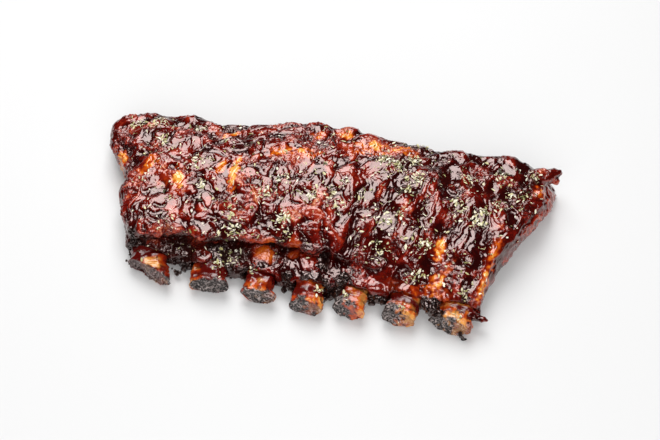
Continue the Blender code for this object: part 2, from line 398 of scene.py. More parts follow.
# Dried oregano and thyme rubbed between the fingers: matte broken leaves, straw to grey-green.
herbFinish = {
    "leaves": ((0.0, "#17120a"), (0.16, "#57562b"), (0.34, "#a8a266"), (0.55, "#e2d9a8"), (1.0, "#fffae6")),
    "roughness": 0.65,
}


def driedHerbs():
    made, tree, shader = newMaterial("driedHerbs")
    tint = addNode(tree, "Attribute", {"attribute_name": "tint"}).outputs["Fac"]
    leaves = addNode(tree, "ValToRGB", inputs={0: tint})
    setStops(leaves.color_ramp, herbFinish["leaves"])
    setInputs(tree, shader, {"Base Color": leaves.outputs[0], "Roughness": herbFinish["roughness"]})
    return made


# Matte white laminate with a painted glow: a faint emission that evens out the shadows, as light from a pale
# room does.
tableLooks = {"size": 4, "tone": "#d2d2d2", "roughness": 0.7, "paintedGlow": 0.13}


def paleTable():
    made, tree, shader = newMaterial("paleTable")
    setInputs(tree, shader, {
        "Base Color": tone(tableLooks["tone"]), "Roughness": tableLooks["roughness"],
        "Emission Color": tone("#ffffff"), "Emission Strength": tableLooks["paintedGlow"]})
    return made


# Every spot is an oval: across, back, half width and half length in mm, lean from the ribs in degrees,
# strength, and for a ring the share of it that stays open.
sauceSpots = (  # where sauce lies thick and flat (+) or has run off (-)
    (-0.83, 0.42, 7, 6, 0, 1, 0.6), (-0.83, 0.44, 3, 3, 0, 1), (-0.79, 0.31, 2, 2, 0, 1),
    (-0.67, 0.78, 3, 4.5, 0, 1), (-0.47, 0.77, 2.5, 5, 74, 1), (-0.35, 0.89, 2, 5.5, 78, 1),
    (-0.37, 0.76, 1.5, 4.5, 0, 1), (-0.92, 0.74, 1.5, 3, 90, 1), (-0.89, 0.65, 2.5, 3.5, 54, 1),
    (-0.64, 0.62, 3, 4.5, 0, 1), (-0.59, 0.64, 1.5, 4, 0, 1), (-0.55, 0.52, 2.5, 6, -27, 1),
    (-0.59, 0.42, 2, 4, -18, 1), (-0.49, 0.37, 2, 4, 83, 1), (-0.36, 0.36, 2.5, 3, 0, 1),
    (-0.26, 0.37, 2.5, 3, 0, 1), (-0.3, 0.49, 3, 4.5, 0, 1), (-0.05, 0.36, 3, 5, 90, 1.2),
    (-0.03, 0.49, 2, 3.5, 0, 1), (-0.01, 0.67, 2, 4, 0, 1), (-0.72, 0.76, 0.8, 6.5, 0, 1),
    (-0.16, 0.48, 1, 5, 0, 1), (0.04, 0.56, 1.5, 5.5, -8, 1), (0.1, 0.5, 2, 4, -11, 1),
    (0.04, 0.3, 1, 4, 17, 1), (0.07, 0.77, 1.5, 5.5, -11, 1), (0.26, 0.61, 2.5, 5, -13, 1),
    (0.68, 0.74, 1.6, 8, -30, 1), (0.46, 0.66, 1.2, 13, 3, 1), (0.57, 0.69, 1.5, 4, -39, 1),
    (0.41, 0.39, 1.8, 11, -4, 1.2), (0.22, 0.31, 1.8, 10.5, 17, 1), (0.32, 0.2, 2.5, 4, 76, 1),
    (0.52, 0.51, 1.5, 12.5, 0, 1), (0.76, 0.35, 2, 3.5, -54, 1), (0.6, 0.3, 2.5, 3, -75, 1),
    (0.91, 0.57, 1, 3, -54, 1), (0.16, 0.32, 1.5, 5.5, 13, -1), (0.48, 0.43, 2, 5.5, -31, -1),
    (0.87, 0.67, 3, 5.5, -48, -1), (-0.02, 0.86, 1, 6.5, -10, -1), (0.08, 0.83, 1, 6.5, 0, -1),
    (0.29, 0.57, 1, 5.5, 0, -1), (-0.31, 0.36, 1, 3.5, 0, -1), (0.63, 0.43, 1.3, 5, 7, -1),
    (0.78, 0.53, 1.5, 8, 0, -1), (-0.15, 0.41, 1, 4, -77, -1),
)
stringSpots = (  # strings of meat and runs of sauce that stand up as thin ridges
    (-0.96, 0.45, 0.6, 13, 16, 1), (-0.74, 0.5, 0.6, 5, 47, 1), (-0.58, 0.8, 0.6, 5, 57, 1),
    (-0.5, 0.82, 0.6, 4, -78, 1), (-0.48, 0.53, 0.6, 9, 15, 1), (-0.52, 0.3, 0.6, 7, -75, 1),
    (-0.37, 0.26, 0.6, 8, -73, 1), (-0.35, 0.43, 0.6, 9, -21, 1), (-0.17, 0.53, 0.7, 12, 4, 1),
    (-0.24, 0.77, 0.6, 8, 65, 1), (-0.09, 0.68, 0.7, 9, 1, 1), (0.16, 0.45, 0.9, 13, 15, 1),
    (0.27, 0.41, 1.0, 16, 18, 1), (0.39, 0.46, 0.9, 12, 3, 1), (0.25, 0.53, 0.7, 9, 7, 1),
    (0.53, 0.59, 0.8, 11, 6, 1), (0.69, 0.5, 0.7, 10, 4, 1), (0.48, 0.33, 0.8, 8, 12, 1),
    (-0.83, 0.31, 0.6, 6, -50, 1), (-0.02, 0.28, 0.7, 8, -81, 1),
)
drySpots = (  # where the surface has dried to a rough, dull crust
    (-0.11, 0.82, 7, 13, -68, 1), (-0.2, 0.66, 6, 6, 0, 1), (0.24, 0.84, 6, 12, -74, 1),
    (-1.01, 0.8, 4.5, 20, 0, 1), (-0.28, 0.48, 4, 8, -30, 1), (0.75, 0.22, 6, 8, -81, 1),
    (-0.82, 0.26, 2.5, 15, -85, 1), (-0.27, 0.21, 2.5, 33, -89, 1), (-0.85, 0.68, 3.5, 10, -16, 0.7),
    (-0.45, 0.42, 4, 7, -52, 0.7), (0.9, 0.15, 3, 4, 80, 1),
)
fatSpots = (  # where fat shines through the glaze
    (-1.03, 0.78, 3, 4, 0, 0.8), (-0.92, 0.63, 3, 4, 20, 0.6), (-0.87, 0.7, 3, 4, -30, 0.7),
    (-0.74, 0.56, 2.5, 6, 0, 0.9), (-0.47, 0.57, 2.0, 9, 6, 1.1), (-0.53, 0.62, 1.8, 6, 20, 0.7),
    (-0.5, 0.87, 1.2, 5, 60, 0.7), (-0.22, 0.7, 8, 4, 0, 0.4), (-0.11, 0.74, 6, 4, 0, 0.5),
    (-0.1, 0.88, 3, 3, 0, 0.6), (0.01, 0.9, 4, 3, 0, 0.6), (0.11, 0.82, 7, 5, 0, 0.5),
    (0.22, 0.86, 8, 5, 0, 0.45), (0.33, 0.88, 7, 4, 0, 0.4), (0.65, 0.2, 2.5, 3, 0, 0.8),
    (0.62, 0.34, 2.2, 6, 0, 0.8), (0.69, 0.28, 2, 4, 0, 0.5), (0.87, 0.44, 2.5, 8, 0, 0.55),
    (0.89, 0.25, 2.5, 9, 0, 0.75), (0.94, 0.91, 3, 4, 0, 0.6), (0.72, 0.14, 5, 4, 0, 0.35),
    (0.5, 0.12, 10, 3, 0, 0.3), (0.62, 0.13, 6, 3, 0, 0.25), (-0.28, 0.72, 3, 9, 80, 0.28),
    (-0.82, 0.56, 4, 5, 0, 0.35),
)
charSpots = (  # where it has burnt
    (-1.0, 0.27, 3, 4, 0, 1.0), (-0.8, 0.22, 14, 3, 90, 0.5), (0.41, 0.97, 2, 9, 90, 0.5),
    (0.3, 0.98, 2, 8, 90, 0.4),
)
bareSpots = (  # the meat over the third rib stays clean
    (-0.28, 0.18, 6.5, 5, 0, 1), (-0.12, 0.2, 4, 3, 0, 0.8),
)
amberSpots = (  # fat over the end of the first rib
    (-0.88, 0.15, 1.8, 4.5, -59, 1.5),
)

sauceLooks = {
    "pitch": 8 * mm, "height": 0.8 * mm, "shore": (-0.4, 0.2),  # flat-topped islands and their slopes
    "finePitch": 3.6 * mm, "fineShare": 0.25,
    "strokes": (-0.1, 0.3), "strokeLean": 0.16, "stretch": 2.5,  # long leaning strokes right of these places
    "swirlPitch": 10 * mm, "swirlReach": 3.5 * mm, "flatten": 0.7,
    "bendPitch": 6 * mm, "bendReach": 1.6 * mm, "ragged": 0.25, "raggedPitch": 4 * mm,  # edges of the spots
    "calm": 0.6, "spotLevel": 0.8, "moatLevel": 0.3, "moatWidth": 0.5,  # a spot calms what is round it
    "valleyLevel": -0.3, "valleyMost": 0.5, "valleyDepth": 0.8 * mm,
    "lipWidth": 0.08, "lipHeight": 0.15 * mm,
    "flatClumps": 0.8, "flatWrinkles": 0.8, "flatCreases": 0.9, "flatCrust": 0.5,  # what a spot smooths away
    "lumpPitch": 17 * mm, "lumpHeight": 2.0 * mm, "clumpPitch": 8 * mm, "clumpHeight": 0.6 * mm,
    "dryPitch": 9 * mm, "dryEdge": (0.1, 0.5), "driest": 0.85, "dryRagged": 0.4,
    "grainPitch": 1.6 * mm, "grainHeight": 0.07 * mm, "crustHeight": 0.8 * mm,
    "wrinklePitch": 3.4 * mm, "wrinkleHeight": 0.25 * mm,
    "wrinkledPitch": 12 * mm, "wrinkledEdge": (-0.2, 0.3),  # where there are wrinkles at all
    "creasePitch": 2.2 * mm, "creaseHeight": 0.1 * mm,  # fine lines between the flat places
    "stringHeight": 0.8 * mm, "poolPitch": 10 * mm, "poolEdge": (0.5 * mm, -2 * mm),
    # how much each thing adds to the depth of sauce, or takes from it; off the islands, in hollows and in
    # valleys the darker colour is thick sauce and painted shade
    "all": 0.53, "pools": 0.3, "offIslands": 0.4, "inHollows": 0.2, "inValleys": 0.3, "onTheRight": 0.15,
    "onLips": -0.1, "onCrust": -0.15, "onStrings": -0.25, "rightFrom": (0.1, 0.4),
}


def sauceRelief(points, across, heading):  # height, depth and dryness of the sauce at every point, the depth darkened in low places as painted shade too
    looks = sauceLooks
    streaky = rise(*looks["strokes"], across)
    lean = heading + looks["strokeLean"] * streaky
    side = points[:, 0] * np.cos(lean) - points[:, 1] * np.sin(lean)
    along = points[:, 0] * np.sin(lean) + points[:, 1] * np.cos(lean)
    stretch = blendValues(1.0, looks["stretch"], streaky)
    flow = np.stack([side, along / stretch, points[:, 2] * looks["flatten"]], axis=1)
    flow += swirls(points, looks["swirlPitch"], seed=11) * looks["swirlReach"]
    level = softNoise(flow, looks["pitch"], seed=1)
    level += looks["fineShare"] * softNoise(flow, looks["finePitch"], seed=2)

    ragged = looks["ragged"] * softNoise(points, looks["raggedPitch"], seed=4)
    bent = points + swirls(points, looks["bendPitch"], seed=31) * looks["bendReach"]
    placed = spots(bent, sauceSpots, ragged)
    moat = np.clip(spots(bent, sauceSpots, ragged - looks["moatWidth"]) - placed, 0, 1)
    level *= 1 - looks["calm"] * np.clip(abs(placed) + moat, 0, 1)
    level += looks["spotLevel"] * placed - looks["moatLevel"] * moat
    flat = np.clip(placed, 0, 1)

    island = rise(*looks["shore"], level)
    lip = np.exp(-((level - looks["shore"][1]) / looks["lipWidth"]) ** 2)
    valley = np.clip(looks["valleyLevel"] - level, 0, looks["valleyMost"])
    lumps = softNoise(points, looks["lumpPitch"], seed=3) * looks["lumpHeight"]
    clumps = softNoise(points, looks["clumpPitch"], seed=5) * (1 - looks["flatClumps"] * flat)
    clumps *= looks["clumpHeight"]
    crusty = spots(points, drySpots, looks["dryRagged"] * softNoise(points, looks["raggedPitch"], seed=12))
    dry = rise(*looks["dryEdge"], softNoise(points, looks["dryPitch"], seed=6) + crusty)
    dry *= looks["driest"] - looks["flatCrust"] * flat
    grain = softNoise(points, looks["grainPitch"], seed=7)
    grain *= blendValues(looks["grainHeight"], looks["crustHeight"], dry)
    wrinkled = rise(*looks["wrinkledEdge"], softNoise(points, looks["wrinkledPitch"], seed=10))
    wrinkles = ridges(softNoise(flow, looks["wrinklePitch"], seed=9), steepness=2.5) * wrinkled
    wrinkles *= looks["wrinkleHeight"] * (1 - looks["flatWrinkles"] * flat)
    creases = ridges(softNoise(flow, looks["creasePitch"], seed=13))
    creases *= looks["creaseHeight"] * (1 - looks["flatCreases"] * flat)
    strings = np.clip(spots(bent, stringSpots), 0, 1)
    height = lumps + clumps + grain + wrinkles + creases + strings * looks["stringHeight"]
    height += island * looks["height"] + lip * looks["lipHeight"] - valley * looks["valleyDepth"]

    hollow = rise(*looks["poolEdge"], lumps + clumps)
    depth = looks["all"] + looks["pools"] * softNoise(points, looks["poolPitch"], seed=8)
    # Off the islands, in hollows and in valleys the colour darkens: thick sauce, and painted shade in the low
    # places.
    for name, where in (("offIslands", 1 - island), ("inHollows", hollow), ("inValleys", valley),
                        ("onTheRight", rise(*looks["rightFrom"], across)), ("onLips", lip),
                        ("onCrust", dry), ("onStrings", strings)):
        depth += looks[name] * where
    return height, depth, dry


meatLooks = {
    "voxel": 0.525 * mm, "smoothing": 8,
    "sink": 1.0 * mm,  # the skin lies this far under the solid before the relief is added
    "ballStep": 0.5,  # the balls of a strand lie half a radius apart
    "hiddenBone": 12 * mm, "tunnelSpare": 1.2 * mm,  # bones fill their tunnels from here back, and are wider
    "raggedPitch": 4 * mm, "raggedShare": 0.4, "frayedPitch": 1.8 * mm, "frayedShare": 0.3,
    "underRagged": 0.25, "edgeRagged": 0.03, "webRagged": 2 * mm, "charRagged": 0.5, "bareRagged": 0.3,
    "frillPitch": 9 * mm, "frillDepth": 2.6 * mm,  # the lifted front edge wanders
    "frillUpright": (1, 1, 0.3), "frillLift": 0.5,
    "charPitch": 2.8 * mm, "charHeight": 1.0 * mm,
    "sinewPitch": 5 * mm, "sinewHeight": 0.7 * mm, "sinewBendPitch": 7 * mm, "sinewBend": 2 * mm,
    "sideHeight": 0.6, "sideDepth": 0.45, "sinewDepth": -0.35, "sideCover": 0.9,
    "sinewFat": 0.35, "sideChar": 0.2, "sinewChar": -0.3,
    "fatPitch": 2.5 * mm, "fatUneven": 0.5,
    "fatCore": 0.7, "fatHalo": 0.4, "haloWidth": 0.6,  # amber with an orange-red rim
    "bareFat": 0.62, "bareSmooth": 0.8, "underSmooth": 0.4,
    # Painted shade: how black the colour is made under the flap, and in the crevice in front of it, where
    # there is also char; between the tips it is char; the last value deepens the sauce colour under the flap,
    # also painted shade.
    "shadowChar": 0.9, "webChar": 0.75, "creviceShadeAndChar": 0.5, "shadedSauceUnderFlap": 0.3,
}
# Where each thing starts and where it is full, in shares of the rack, in metres of height or by how the
# skin faces, from -1 down to 1 up.
meatEdges = {
    "sideAcross": (0.9, 0.97), "steep": (0.75, 0.4), "under": (0.1, -0.4),
    "footAcross": (0.84, 0.9), "footTall": (15 * mm, 9 * mm),
    "fatStrands": (-0.2, 0.8), "charredGaps": (-0.3, 0.3),
    "flapAcross": (0.3, 0.2), "flapUnder": (0.0, -0.35), "flapBack": (0.5, 0.4),
    "flapTall": (5 * mm, 8 * mm),
    "creviceAcross": (0.33, 0.25), "creviceFront": (-0.04, 0.0), "creviceBack": (0.9, 0.7),
    "creviceTall": (19 * mm, 17 * mm), "sauceTall": (17 * mm, 14 * mm), "sauceBack": (0.3, 0.25),
    "webGap": (6 * mm, 9 * mm), "webBack": (0.2, 0.1), "webUp": (0.5, 0.2),
    "lipAcross": (0.35, 0.2), "lipBack": (0.09, 0.03), "lipTall": (15 * mm, 18 * mm),
}
# The front edge of the lifted flap: places across, and how far back it lies there.
flapEdge = ((-1, -0.65, -0.32, 0.02, 0.2), (0.094, 0.17, 0.21, 0.236, 0.236))
# Cuts that let the right corner fall away below its nub: a place on each in mm, and which way it faces.
cornerCuts = (
    ((109, 40, 19.5), (0.75, 0.29, 0.59)), ((118.3, 39, 6), (0.97, 0, 0.24)),
)
# Loose ends of meat: across, back and height of each end in mm, and the thickness there in mm.
strands = (
    ((0.89, 1.0, 16), (0.935, 1.045, 16), 5.5, 3.8), ((0.935, 1.045, 17), (0.966, 1.07, 17.5), 3.2, 2.2),
    ((0.966, 1.07, 17.5), (0.968, 1.035, 14.5), 2.0, 1.5), ((0.87, 0.11, 9), (0.965, 0.135, 8), 2.6, 0.9),
    ((-1.0, 0.93, 18), (-1.06, 0.98, 19), 3.4, 1.0),
)


def tunnelFiller(name):  # a bone drawn back from its tip, to close the tunnels in the meat
    tip, heel = boneLines[ribNames.index(name)]
    heading = (heel - tip).normalized()
    mesh = nodes[name].data.copy()
    for vertex in mesh.vertices:
        along = (vertex.co - tip).dot(heading)
        hidden = max(along, meatLooks["hiddenBone"])
        vertex.co += heading * (hidden - along) + vertex.normal * meatLooks["tunnelSpare"]
    return mesh


def addBall(builder, place, radius, fineness=2):
    move = Matrix.Translation(place)
    bmesh.ops.create_icosphere(builder, subdivisions=fineness, radius=radius, matrix=move)


def addStrand(builder, start, end, startRadius, endRadius):  # a row of overlapping balls
    ends = [(*rackPoint(across, back), height * mm) for across, back, height in (start, end)]
    a, b = (Vector(place) for place in ends)
    steps = max(2, round((b - a).length / (meatLooks["ballStep"] * min(startRadius, endRadius) * mm)))
    for step in range(steps + 1):
        addBall(builder, a.lerp(b, step / steps), blendValues(startRadius, endRadius, step / steps) * mm)


def boneGap(points):  # distance to the nearest bone's middle line, seen from above
    gaps = []
    for tip, heel in boneLines:
        heading = (heel - tip).normalized()
        gaps.append(abs((points - np.array(tip)) @ np.array((heading.y, -heading.x, 0))))
    return np.min(gaps, axis=0)


def plainMeat():  # the solid with its corner cut back, its tunnels filled and its loose ends added
    builder = bmesh.new()
    builder.from_mesh(nodes["meat"].data)
    for place, facing in cornerCuts:
        for vertex in builder.verts:
            beyond = (vertex.co - Vector(place) * mm).dot(Vector(facing))
            vertex.co -= max(beyond, 0) * Vector(facing)
    for name in ribNames:
        builder.from_mesh(tunnelFiller(name))
    for strand in strands:
        addStrand(builder, *strand)
    return finishBuilder(builder, "glazedMeat")


def charAndShadeOnMeat(points, normals, across, back, flapLine, ragged):
    looks, edges = meatLooks, meatEdges  # painted shade under the flap, painted shade and char in the crevice in front of it, char between the tips and on the edges
    tall, facingUp = points[:, 2], normals[:, 2]
    frontRagged = back + looks["edgeRagged"] * ragged
    # Painted shade: soot black on the downward faces under the lifted flap, where its shade falls.
    shadowed = rise(*edges["flapUnder"], facingUp + looks["underRagged"] * ragged)
    shadowed *= rise(*edges["flapBack"], back) * rise(*edges["flapAcross"], across)
    shadowed *= rise(*edges["flapTall"], tall)
    # Painted shade and char: soot black in the crevice in front of the flap.
    crevice = rise(*edges["creviceFront"], frontRagged - flapLine) * rise(*edges["creviceTall"], tall)
    crevice *= rise(*edges["creviceAcross"], across) * rise(*edges["creviceBack"], back)
    web = rise(*edges["webGap"], boneGap(points) + ragged * looks["webRagged"])
    web *= rise(*edges["webBack"], frontRagged) * rise(*edges["webUp"], facingUp)
    return np.maximum.reduce([
        looks["shadowChar"] * shadowed, looks["webChar"] * web, looks["creviceShadeAndChar"] * crevice,
        spots(points, charSpots, looks["charRagged"] * ragged)])


def glazedMeat():
    looks, edges = meatLooks, meatEdges
    piece = plainMeat()
    mesh = evenSkin(piece, looks["voxel"], looks["smoothing"])
    points, normals = readSkin(mesh)
    tall, facingUp = points[:, 2], normals[:, 2]
    across, back, heading = rackShares(points)
    ragged = softNoise(points, looks["raggedPitch"], seed=21)
    frayed = looks["raggedShare"] * ragged
    frayed += looks["frayedShare"] * softNoise(points, looks["frayedPitch"], seed=22)
    height, depth, dry = sauceRelief(points, across, heading)

    side = rise(*edges["sideAcross"], across) * rise(*edges["steep"], facingUp)  # cut, and netted with sinew
    bend = swirls(points, looks["sinewBendPitch"], seed=61) * looks["sinewBend"]
    sinew = ridges(softNoise(points + bend, looks["sinewPitch"], seed=60))
    height = blendValues(height, looks["sideHeight"] * height + looks["sinewHeight"] * sinew, side)
    depth = blendValues(depth, looks["sideDepth"] + looks["sinewDepth"] * sinew, looks["sideCover"] * side)
    # Painted shade: the sauce colour is made deeper on the low meat under the left of the flap.
    depth += (looks["shadedSauceUnderFlap"] * rise(*edges["sauceTall"], tall) * rise(*edges["flapAcross"], across)
              * rise(*edges["sauceBack"], back))
    height *= 1 - looks["underSmooth"] * rise(*edges["under"], facingUp)

    fat = looks["fatCore"] * spots(points, fatSpots, frayed)
    fat += looks["fatHalo"] * spots(points, fatSpots, frayed - looks["haloWidth"])
    fat *= 1 + looks["fatUneven"] * softNoise(points, looks["fatPitch"], seed=23)
    fat *= 1 - (rise(*edges["steep"], facingUp) * rise(*edges["footAcross"], across)
                * rise(*edges["footTall"], tall))
    bare = np.clip(spots(points, bareSpots, looks["bareRagged"] * ragged), 0, 1)
    fat = np.maximum(fat * (1 - bare), looks["bareFat"] * bare)
    fat = np.maximum(fat, looks["sinewFat"] * side * rise(*edges["fatStrands"], sinew))

    flapLine = np.interp(across, *flapEdge)
    # The soot-black share: char, and painted shade under the flap and in the crevice.
    char = charAndShadeOnMeat(points, normals, across, back, flapLine, ragged) * (1 - bare)
    sideChar = rise(*edges["charredGaps"], ragged + looks["sinewChar"] * sinew)
    char = np.maximum(char, looks["sideChar"] * side * sideChar)
    height *= 1 - looks["bareSmooth"] * bare
    height += char * looks["charHeight"] * softNoise(points, looks["charPitch"], seed=24)

    lip = rise(*edges["lipBack"], abs(back - flapLine)) * rise(*edges["lipTall"], tall)
    lip *= rise(*edges["lipAcross"], across)
    wander = softNoise(points * looks["frillUpright"], looks["frillPitch"], seed=51) * lip
    wander *= looks["frillDepth"]
    moved = points + normals * (height - looks["sink"])[:, None]
    moved[:, :2] += wander[:, None] * np.stack([np.sin(heading), np.cos(heading)], axis=1)
    moved[:, 2] = np.maximum(moved[:, 2] + looks["frillLift"] * wander, 0)
    placeSkin(mesh, moved, glaze=depth, char=char, fat=fat, dry=dry)
    dress(piece, barbecueGlaze(), "meat")
    print("glazed meat:", len(mesh.polygons), "faces")
    return piece


boneLooks = {
    "voxel": 0.6 * mm, "smoothing": 3, "sink": 0.5 * mm,
    "knobPitch": 5 * mm, "knobHeight": 1.0 * mm,
    "porePitch": 1.3 * mm, "poreHeight": 0.5 * mm, "poreLevel": 0.3,
    "foldPitch": 3.2 * mm, "foldHeight": 0.45 * mm, "foldStretch": 0.3,  # meat wrapped round the bone
    "raggedPitch": 3 * mm, "finePitch": 1.4 * mm, "fineShare": 0.6, "raggedReach": 3 * mm,
    "sawnEdge": (0.55, 0.9), "coverEdge": (0.0, 0.4), "coverRagged": 0.7, "leftToRight": (-0.7, 0.7),
    "burnFade": (-1 * mm, 1.5 * mm), "meatFrom": (4.5 * mm, 6.5 * mm),  # the bone is bare in front of this
    "glazePitch": 4 * mm, "glazeEdge": (0.5, 0.2), "glazeRagged": 0.7, "bareRagged": 0.3,
    "runPitch": 5 * mm, "runEdge": (0.05, 0.4), "runs": 0.6,
    "ashPitch": 3.5 * mm, "ashEdge": (-0.2, 0.3), "ashLeast": 0.35,
    "amberFat": 0.9, "raggedFat": 0.4, "foldFat": 0.5,
}
firstBoneSeed, seedsPerBone = 40, 5
# For each rib: how far the char reaches in mm at its left and right edge, how amber its left, middle and
# right are, and how much of the sawn face the amber covers on the right.
tipLooks = (
    (1.0, 3.5, 0.7, 0.9, 0.0, 0.0), (1.5, 2.5, 0.8, 0.05, 0.2, 0.0), (1.0, 1.0, 0.45, 0.5, 0.6, 0.1),
    (2.5, 0.5, 0.2, 0.6, 0.95, 0.3), (7.5, 0.5, 0.1, 0.6, 1.0, 0.9), (7.0, 1.0, 0.1, 0.6, 1.0, 0.6),
    (3.5, 1.5, 0.3, 1.0, 0.9, 0.4),
)


def ribBone(name, material):
    looks = boneLooks
    number = ribNames.index(name)
    seed = firstBoneSeed + number * seedsPerBone
    leftBurn, rightBurn, left, middle, right, covered = tipLooks[number]
    tip, heel = (np.array(end) for end in boneLines[number])
    heading = (heel - tip) / np.linalg.norm(heel - tip)
    sideways = np.array((heading[1], -heading[0], 0))
    piece = addObject(name.replace("rib_", "ribBone"), nodes[name].data.copy())
    mesh = evenSkin(piece, looks["voxel"], looks["smoothing"])
    points, normals = readSkin(mesh)
    along = (points - tip) @ heading
    share = (points - tip) @ sideways
    share /= np.abs(share).max()
    ragged = softNoise(points, looks["raggedPitch"], seed + 2)
    ragged += looks["fineShare"] * softNoise(points, looks["finePitch"], seed + 2)
    wandering = along + ragged * looks["raggedReach"]
    uncovered = 1 - covered * rise(*looks["coverEdge"], share + looks["coverRagged"] * ragged)
    sawnFace = rise(*looks["sawnEdge"], -normals @ heading) * uncovered

    knobs = softNoise(points, looks["knobPitch"], seed) * looks["knobHeight"]
    lengthwise = np.stack([along, looks["foldStretch"] * (points @ sideways),
                           looks["foldStretch"] * points[:, 2]], axis=1)
    band = softNoise(lengthwise, looks["foldPitch"], seed + 5)
    folds = ridges(band) * looks["foldHeight"] * (1 - sawnFace)
    pores = softNoise(points, looks["porePitch"], seed + 1) - looks["poreLevel"]
    pores *= looks["poreHeight"] * sawnFace
    moved = points + normals * (knobs + folds + pores - looks["sink"])[:, None]
    moved[:, 2] = np.maximum(moved[:, 2], 0)

    reach = blendValues(leftBurn, rightBurn, rise(*looks["leftToRight"], share)) * mm
    burnt = 1 - rise(*looks["burnFade"], wandering - reach)
    char = np.maximum(sawnFace, burnt * uncovered)
    amber = middle * (1 - abs(share)) + np.where(share > 0, right, left) * abs(share)
    bare = np.clip(spots(points, amberSpots, looks["bareRagged"] * ragged), 0, 1)
    sauced = amber + looks["glazeRagged"] * softNoise(points, looks["glazePitch"], seed + 3)
    glaze = np.maximum(rise(*looks["meatFrom"], wandering), rise(*looks["glazeEdge"], sauced)) * (1 - bare)
    glaze *= 1 - looks["runs"] * rise(*looks["runEdge"], softNoise(lengthwise, looks["runPitch"], seed + 6))
    ash = rise(*looks["ashEdge"], softNoise(points, looks["ashPitch"], seed + 4))
    ash = blendValues(looks["ashLeast"], 1.0, ash)
    fat = looks["amberFat"] * amber + looks["raggedFat"] * ragged + looks["foldFat"] * band + bare
    placeSkin(mesh, moved, glaze=glaze, char=char, ash=ash, fat=fat)
    dress(piece, material, name)
    return piece


crumbLooks = {
    "perGap": 12, "across": (0.3, 0.7), "back": (10, 16), "height": (2, 12, 4), "radius": (0.8, 2.4),  # mm
    "voxel": 0.45 * mm, "smoothing": 2, "roughPitch": 1.8 * mm, "roughHeight": 0.9 * mm,
}
burntLumps = (  # across, back, height and radius in mm; the last three hang from the last rib
    (0.16, 0.09, 13, 3.2), (0.15, 0.05, 9, 3.0), (0.17, 0.11, 15, 2.8), (0.67, 0.07, 12, 3.6),
    (0.71, 0.06, 11, 3.0), (0.63, 0.09, 12, 3.2), (0.68, 0.09, 14, 3.0), (-0.14, 0.09, 12, 3.0),
    (-0.12, 0.07, 7, 2.6), (0.37, 0.07, 9, 2.4), (0.4, 0.07, 8, 2.4), (0.86, 0.05, 3.4, 1.3),
    (0.87, 0.035, 2.4, 1.1), (0.885, 0.02, 1.6, 1.4),
)


def charredCrumbs(material):  # burnt scraps that cling to the meat between the rib tips
    looks = crumbLooks
    draw = random.Random(11)
    builder = bmesh.new()
    for (tipA, heelA), (tipB, heelB) in zip(boneLines, boneLines[1:]):
        for count in range(looks["perGap"]):
            share = draw.uniform(*looks["across"])
            tip, heel = tipA.lerp(tipB, share), heelA.lerp(heelB, share)
            place = tip + (heel - tip).normalized() * draw.uniform(*looks["back"]) * mm
            place.z = draw.triangular(*looks["height"]) * mm
            radius = draw.uniform(*looks["radius"]) * mm
            place.z = max(place.z, radius)
            addBall(builder, place, radius)
    for across, back, height, radius in burntLumps:
        addBall(builder, Vector((*rackPoint(across, back), height * mm)), radius * mm, fineness=3)
    piece = finishBuilder(builder, "charredCrumbs")
    mesh = evenSkin(piece, looks["voxel"], looks["smoothing"])
    points, normals = readSkin(mesh)
    rough = softNoise(points, looks["roughPitch"], seed=90) * looks["roughHeight"]
    moved = points + normals * rough[:, None]
    moved[:, 2] = np.maximum(moved[:, 2], 0)
    ones = np.ones(len(points))
    placeSkin(mesh, moved, glaze=ones, char=ones, fat=0 * ones, dry=0 * ones)
    dress(piece, material, None)
    print("crumbs:", len(mesh.polygons), "faces")


herbLooks = {
    "length": (0.6, 3.6, 1.3),  # least, most and usual, in mm
    "slimness": (0.16, 0.5), "thickness": 0.16 * mm, "curl": 0.25, "tilt": 0.35, "lift": 0.25 * mm,
    "crowding": 1.4, "scattered": 800, "scatteredSpread": 4, "scatteredAcross": (-0.95, 0.95),
    "scatteredBack": (0.2, 0.98), "spread": 0.6, "lightness": 0.7, "dropHeight": 10 * mm,
    "outline": ((-0.5, 0), (-0.2, 0.5), (0.25, 0.4), (0.5, 0), (0.25, -0.5), (-0.2, -0.4)),
}
herbClusters = (  # across, back, spread in mm, flakes
    (-0.83, 0.97, 5, 34), (-0.94, 0.99, 4, 22), (-0.65, 0.9, 3.5, 20), (-0.83, 0.83, 3.5, 22),
    (-0.53, 0.81, 1.5, 8), (-0.64, 0.64, 5.5, 30), (-0.63, 0.5, 2.5, 14), (-0.22, 0.54, 4, 26),
    (-0.3, 0.46, 5, 30), (-0.07, 0.46, 4.5, 26), (-0.19, 0.33, 3.5, 34), (-0.04, 0.66, 1.2, 8),
    (0.01, 0.5, 4, 26), (-0.46, 0.35, 4, 20), (-0.46, 0.25, 6, 36), (-0.18, 0.25, 3, 14),
    (0.07, 0.42, 4.5, 24), (0.17, 0.5, 3, 16), (0.08, 0.56, 2, 10), (0.23, 0.75, 4, 36), (0.3, 0.73, 4, 36),
    (0.36, 0.81, 3.5, 28), (0.4, 0.68, 4, 32), (0.38, 0.97, 3.5, 22), (0.38, 0.59, 3, 18),
    (0.38, 0.44, 3, 14), (0.31, 0.41, 4.5, 26), (0.32, 0.26, 4.5, 26), (0.53, 0.32, 4, 34),
    (0.54, 0.18, 4.5, 30), (0.64, 0.58, 5, 38), (0.74, 0.56, 4, 34), (0.75, 0.63, 3, 18),
    (0.8, 0.69, 3, 18), (0.76, 0.87, 4, 26), (0.88, 0.97, 3, 14), (0.86, 0.81, 5, 28),
    (0.62, 0.79, 3.5, 20), (0.81, 0.17, 2.5, 16), (-0.52, 0.13, 4, 28), (-0.46, 0.17, 4, 22),
    (-0.34, 0.1, 3, 12), (0.04, 0.03, 2, 10), (0.52, 0.02, 2, 8), (0.82, 0.08, 2, 8), (0.21, 0.03, 2, 8),
)


